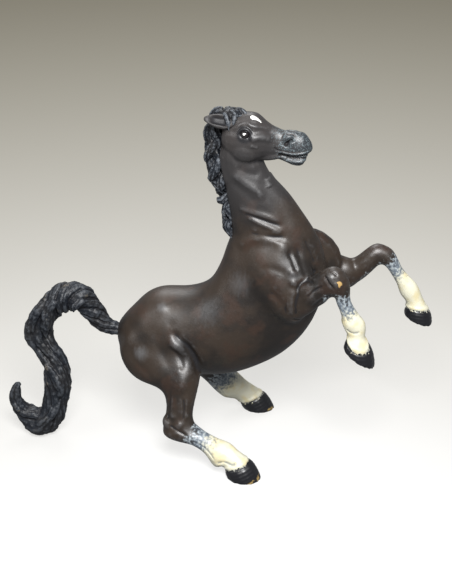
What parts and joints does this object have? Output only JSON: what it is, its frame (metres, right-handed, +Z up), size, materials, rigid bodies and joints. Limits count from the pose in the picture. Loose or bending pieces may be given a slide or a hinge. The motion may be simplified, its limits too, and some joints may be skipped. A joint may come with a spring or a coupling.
{
  "type": "horse statuette",
  "caption": "Small painted bronze statuette of a rearing horse that stands on its hind hooves and the loop of its curled tail.",
  "frame": {"origin": "on the surface that the horse stands on, under the middle of its bounding box", "axes": "+X the way the horse faces, +Y to its left, +Z up"},
  "size_m": [0.2139, 0.087, 0.1832],
  "materials": {
    "coat_paint": "satin dark brown paint over bronze, worn to reddish brown",
    "leg_paint": "satin dark brown running into cream socks, with black hooves",
    "hair_paint": "satin blue-black paint over carved bronze locks",
    "fixing_brass": "bare turned brass"
  },
  "bodies": {
    "root": {"trunk_right": "coat_paint", "trunk_left": "coat_paint", "neck": "coat_paint", "head": "coat_paint", "ear_right": "coat_paint", "ear_left": "coat_paint", "hindleg_right": "leg_paint", "hindleg_left": "leg_paint", "foreleg_right": "leg_paint", "foreleg_left": "leg_paint", "forelock": "hair_paint", "mane_upper": "hair_paint", "mane_flying": "hair_paint", "mane_lower": "hair_paint", "tail": "hair_paint", "hindleg_right_dowel": "fixing_brass", "hindleg_left_dowel": "fixing_brass", "foreleg_right_dowel": "fixing_brass", "foreleg_left_dowel": "fixing_brass", "head_dowel": "fixing_brass", "neck_pin_right": "fixing_brass", "neck_pin_left": "fixing_brass", "neck_pin_front": "fixing_brass", "tail_stud": "fixing_brass", "tail_nut": "fixing_brass", "locating_pin_croup": "fixing_brass", "locating_pin_belly": "fixing_brass", "locating_pin_withers": "fixing_brass", "locating_pin_girth": "fixing_brass"}
  },
  "joints": []
}
